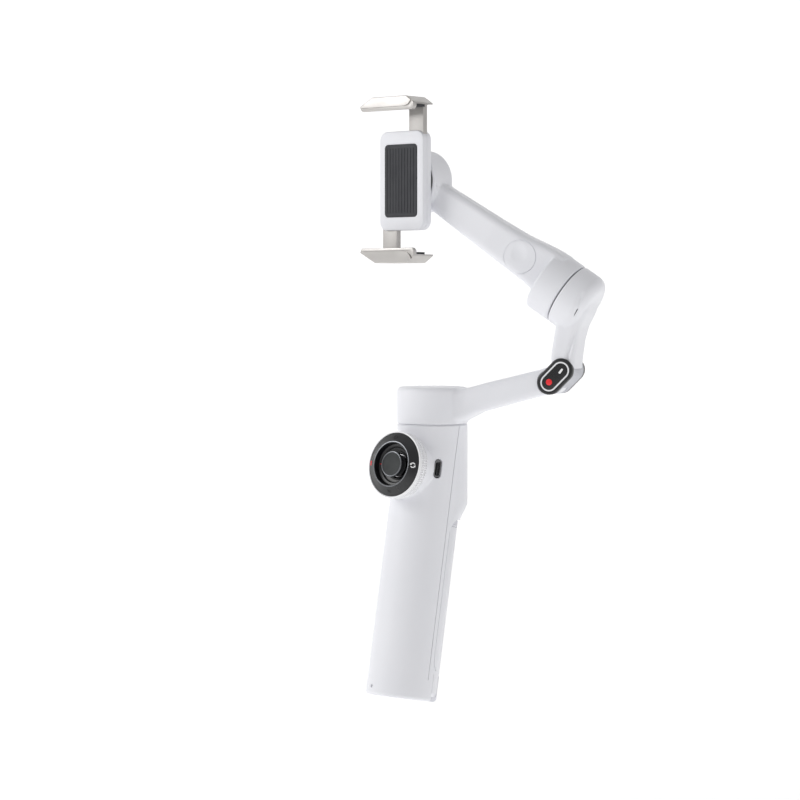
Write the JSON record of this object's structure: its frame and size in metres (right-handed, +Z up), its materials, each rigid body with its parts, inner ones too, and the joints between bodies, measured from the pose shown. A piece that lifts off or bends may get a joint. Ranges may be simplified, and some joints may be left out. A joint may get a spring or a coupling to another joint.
{
  "type": "gimbal stabilizer",
  "caption": "Handheld phone gimbal: leaning grip with thumb stick, zoom wheel, folding legs and telescopic pole, motorised arms and a sprung phone clamp.",
  "frame": {"origin": "centre of the mouth of the tripod thread, in the flat base of the grip", "axes": "+Z up along the pan axis, -Y toward the user and the thumb stick, +X to the right of the user"},
  "size_m": [0.1217, 0.0878, 0.3178],
  "materials": {
    "white_shell": "fine matte",
    "white_gloss": "semi gloss with fine knurls",
    "grey_shell": "fine matte",
    "black_satin": "satin",
    "stick_rubber": "fine grain",
    "rubber": "matte",
    "foot_rubber": "matte",
    "jaw_metal": "bead blasted, anodised",
    "pole_metal": "satin anodised",
    "steel": "turned",
    "insert_brass": "machined",
    "motor_iron": "laminated",
    "board_green": "solder mask",
    "cell_wrap": "shrink wrapped"
  },
  "bodies": {
    "grip": {"base_cup": "white_shell", "grip_front": "white_shell", "grip_back": "white_shell", "panel_neck": "white_shell", "panel_disc": "black_satin", "thread_insert": "insert_brass", "leg_pins": "steel", "trigger_pin": "steel", "usb_socket": "steel", "battery_cells": "cell_wrap", "main_board": "board_green", "pole_sleeve": "pole_metal"},
    "zoom_wheel": {"zoom_wheel": "white_gloss"},
    "stick_ring": {"joystick_ring": "steel"},
    "stick": {"joystick_cap": "stick_rubber"},
    "trigger": {"trigger": "black_satin"},
    "button": {"side_button": "white_shell"},
    "pole_lower": {"pole_stage_1": "pole_metal"},
    "pole_middle": {"pole_stage_2": "pole_metal"},
    "pole_head": {"pole_stage_3": "pole_metal", "pan_carrier": "white_shell", "pan_stator": "motor_iron", "pan_bearings": "steel"},
    "lower_arm": {"lower_arm": "white_shell", "pan_cover": "white_shell", "pan_rotor": "motor_iron"},
    "upper_arm": {"upper_arm": "white_shell", "elbow_barrel": "grey_shell", "elbow_cap": "black_satin", "elbow_band": "black_satin", "elbow_pin": "steel", "tilt_stator": "motor_iron", "tilt_bearings": "steel"},
    "third_arm": {"third_arm": "white_shell", "tilt_rotor": "motor_iron", "roll_stator": "motor_iron", "roll_bearings": "steel"},
    "clamp": {"clamp_body": "white_shell", "back_pad": "rubber", "roll_rotor": "motor_iron", "clamp_screws": "steel"},
    "pinion": {"clamp_pinion": "steel"},
    "upper_jaw": {"upper_jaw": "jaw_metal", "upper_pad": "rubber"},
    "lower_jaw": {"lower_jaw": "jaw_metal", "lower_pad": "rubber"},
    "leg_left": {"leg_left": "white_shell", "foot_left": "foot_rubber"},
    "leg_center": {"leg_center": "white_shell", "foot_center": "foot_rubber"},
    "leg_right": {"leg_right": "white_shell", "foot_right": "foot_rubber"}
  },
  "joints": [
    {"name": "pole_slide_lower", "type": "slide", "parent": "grip", "child": "pole_lower", "axis": [0, 0.19, 0.9818], "range_m": [0, 0.07]},
    {"name": "pole_slide_middle", "type": "slide", "parent": "pole_lower", "child": "pole_middle", "axis": [0, 0.19, 0.9818], "range_m": [0, 0.07]},
    {"name": "pole_slide_upper", "type": "slide", "parent": "pole_middle", "child": "pole_head", "axis": [0, 0.19, 0.9818], "range_m": [0, 0.07]},
    {"name": "pan", "type": "hinge", "parent": "pole_head", "child": "lower_arm", "pos_m": [0, 0.0257, 0.148], "axis": [0, 0, 1], "range_deg": [-150, 170]},
    {"name": "elbow_fold", "type": "hinge", "parent": "lower_arm", "child": "upper_arm", "pos_m": [0.06319, 0.0487, 0.16495], "axis": [-0.342, 0.9397, 0], "range_deg": [0, 95]},
    {"name": "tilt", "type": "hinge", "parent": "upper_arm", "child": "third_arm", "pos_m": [0.06925, 0.05091, 0.2104], "axis": [-0.779, -0.2835, 0.5592], "range_deg": [-80, 100]},
    {"name": "roll", "type": "hinge", "parent": "third_arm", "child": "clamp", "pos_m": [-0.0131, 0.0257, 0.2699], "axis": [0, -1, 0], "range_deg": [-110, 110]},
    {"name": "upper_jaw_slide", "type": "slide", "parent": "clamp", "child": "upper_jaw", "axis": [0, 0, 1], "range_m": [-0.006, 0.004]},
    {"name": "lower_jaw_slide", "type": "slide", "parent": "clamp", "child": "lower_jaw", "axis": [0, 0, -1], "range_m": [-0.006, 0.004]},
    {"name": "pinion_spin", "type": "hinge", "parent": "clamp", "child": "pinion", "pos_m": [-0.0131, 0.0187, 0.2699], "axis": [0, -1, 0], "range_deg": [-90, 60]},
    {"name": "stick_swing", "type": "hinge", "parent": "grip", "child": "stick_ring", "pos_m": [0, 0.00002, 0.1212], "axis": [1, 0, 0], "range_deg": [-12, 12], "stiffness_Nm_per_rad": 0.02},
    {"name": "stick_sway", "type": "hinge", "parent": "stick_ring", "child": "stick", "pos_m": [0, 0.00002, 0.1212], "axis": [0, 0.19, 0.9818], "range_deg": [-12, 12], "stiffness_Nm_per_rad": 0.02},
    {"name": "zoom_spin", "type": "hinge", "parent": "grip", "child": "zoom_wheel", "pos_m": [0, -0.00194, 0.12158], "axis": [0, -0.9818, 0.19], "continuous": true},
    {"name": "trigger_pull", "type": "hinge", "parent": "grip", "child": "trigger", "pos_m": [0, 0.0402, 0.122], "axis": [-1, 0, 0], "range_deg": [0, 6], "stiffness_Nm_per_rad": 0.05, "springref_deg": -5.73},
    {"name": "button_push", "type": "slide", "parent": "grip", "child": "button", "axis": [0.8829, 0.4609, -0.0892], "range_m": [0, 0.0008], "stiffness_N_per_m": 500, "springref_m": -0.001},
    {"name": "leg_left_swing", "type": "hinge", "parent": "grip", "child": "leg_left", "pos_m": [-0.01449, 0.0026, 0.00408], "axis": [-0.1219, -0.9745, 0.1885], "range_deg": [0, 115]},
    {"name": "leg_center_swing", "type": "hinge", "parent": "grip", "child": "leg_center", "pos_m": [0, 0.01519, 0.00164], "axis": [-1, 0, 0], "range_deg": [0, 105]},
    {"name": "leg_right_swing", "type": "hinge", "parent": "grip", "child": "leg_right", "pos_m": [0.01449, 0.0026, 0.00408], "axis": [-0.1219, 0.9745, -0.1885], "range_deg": [0, 115]}
  ],
  "couplings": [
    {"joint": "lower_jaw_slide", "follows": "upper_jaw_slide", "ratio": 1},
    {"joint": "pinion_spin", "follows": "upper_jaw_slide", "rad_per_m": 250}
  ]
}
